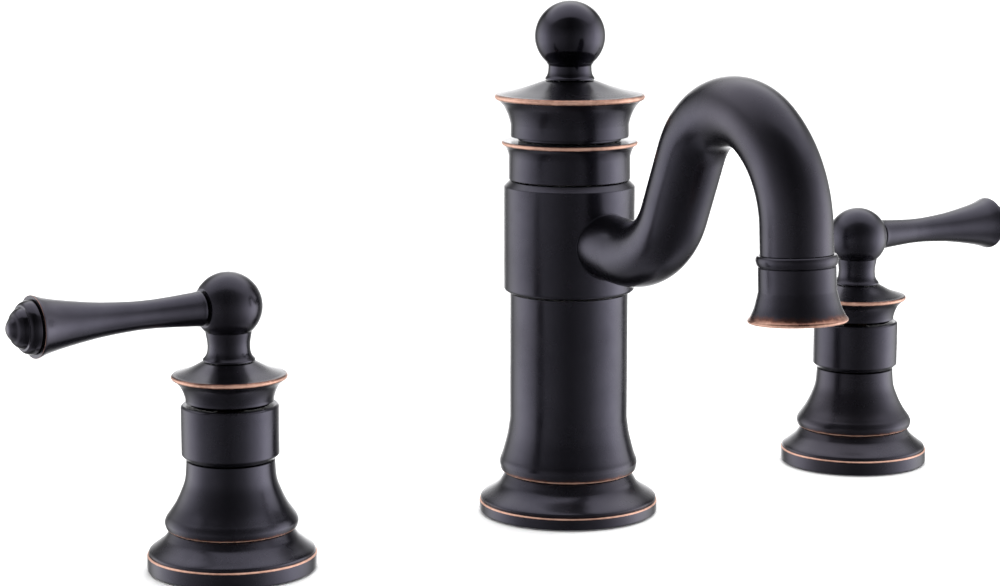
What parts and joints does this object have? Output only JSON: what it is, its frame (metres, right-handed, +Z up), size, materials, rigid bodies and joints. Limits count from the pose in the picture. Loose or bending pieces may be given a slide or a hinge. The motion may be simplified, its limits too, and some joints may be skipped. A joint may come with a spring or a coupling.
{
  "type": "bathroom faucet",
  "caption": "Widespread basin faucet: swivelling swan-neck spout on a turned column between a hot and a cold lever valve, clamped through the deck.",
  "frame": {"origin": "where the spout column's axis meets the top of the deck", "axes": "+Z up, +X from the hot valve to the cold valve, the spout points to -Y at rest"},
  "size_m": [0.3962, 0.1573, 0.2242],
  "materials": {
    "bronze": "oil-rubbed bronze, dark satin gloss with copper showing on the worn rims",
    "raw_brass": "machined brass",
    "steel": "plain stainless steel",
    "rubber": "matt black rubber",
    "nylon": "natural white nylon",
    "ceramic": "polished alumina ceramic"
  },
  "bodies": {
    "root": {"base_flange_hot": "bronze", "deck_gasket_hot": "rubber", "bell_hot": "bronze", "collar_hot": "bronze", "valve_body_hot": "raw_brass", "cartridge_hot": "raw_brass", "fixed_disc_hot": "ceramic", "deck_washer_hot": "steel", "lock_nut_hot": "raw_brass", "base_flange_cold": "bronze", "deck_gasket_cold": "rubber", "bell_cold": "bronze", "collar_cold": "bronze", "valve_body_cold": "raw_brass", "cartridge_cold": "raw_brass", "fixed_disc_cold": "ceramic", "deck_washer_cold": "steel", "lock_nut_cold": "raw_brass", "base_flange_spout": "bronze", "deck_gasket_spout": "rubber", "column": "bronze", "spout_post": "raw_brass", "o_ring_lower": "rubber", "o_ring_upper": "rubber", "retaining_ring": "bronze", "finial_cap": "bronze", "finial_ball": "bronze", "deck_washer_spout": "steel", "lock_nut_spout": "raw_brass"},
    "hot_handle": {"moving_disc_hot": "ceramic", "stem_hot": "raw_brass", "hub_hot": "bronze", "set_screw_hot": "steel", "handle_ball_hot": "bronze", "lever_hot": "bronze", "lever_cap_hot": "bronze"},
    "cold_handle": {"moving_disc_cold": "ceramic", "stem_cold": "raw_brass", "hub_cold": "bronze", "set_screw_cold": "steel", "handle_ball_cold": "bronze", "lever_cold": "bronze", "lever_cap_cold": "bronze"},
    "spout": {"thrust_washer_lower": "nylon", "thrust_washer_upper": "nylon", "spout_collar": "bronze", "swan_neck": "bronze", "outlet_bell": "bronze", "aerator_housing": "raw_brass", "aerator_screen": "steel", "flow_regulator": "nylon"}
  },
  "joints": [
    {"name": "hot_lever_turn", "type": "hinge", "parent": "root", "child": "hot_handle", "pos_m": [-0.1265, 0, 0.0809], "axis": [0, 0, 1], "range_deg": [0, 90]},
    {"name": "cold_lever_turn", "type": "hinge", "parent": "root", "child": "cold_handle", "pos_m": [0.1265, 0, 0.0809], "axis": [0, 0, 1], "range_deg": [-90, 0]},
    {"name": "spout_swivel", "type": "hinge", "parent": "root", "child": "spout", "pos_m": [0, 0, 0.092], "axis": [0, 0, 1], "range_deg": [-45, 45]}
  ]
}
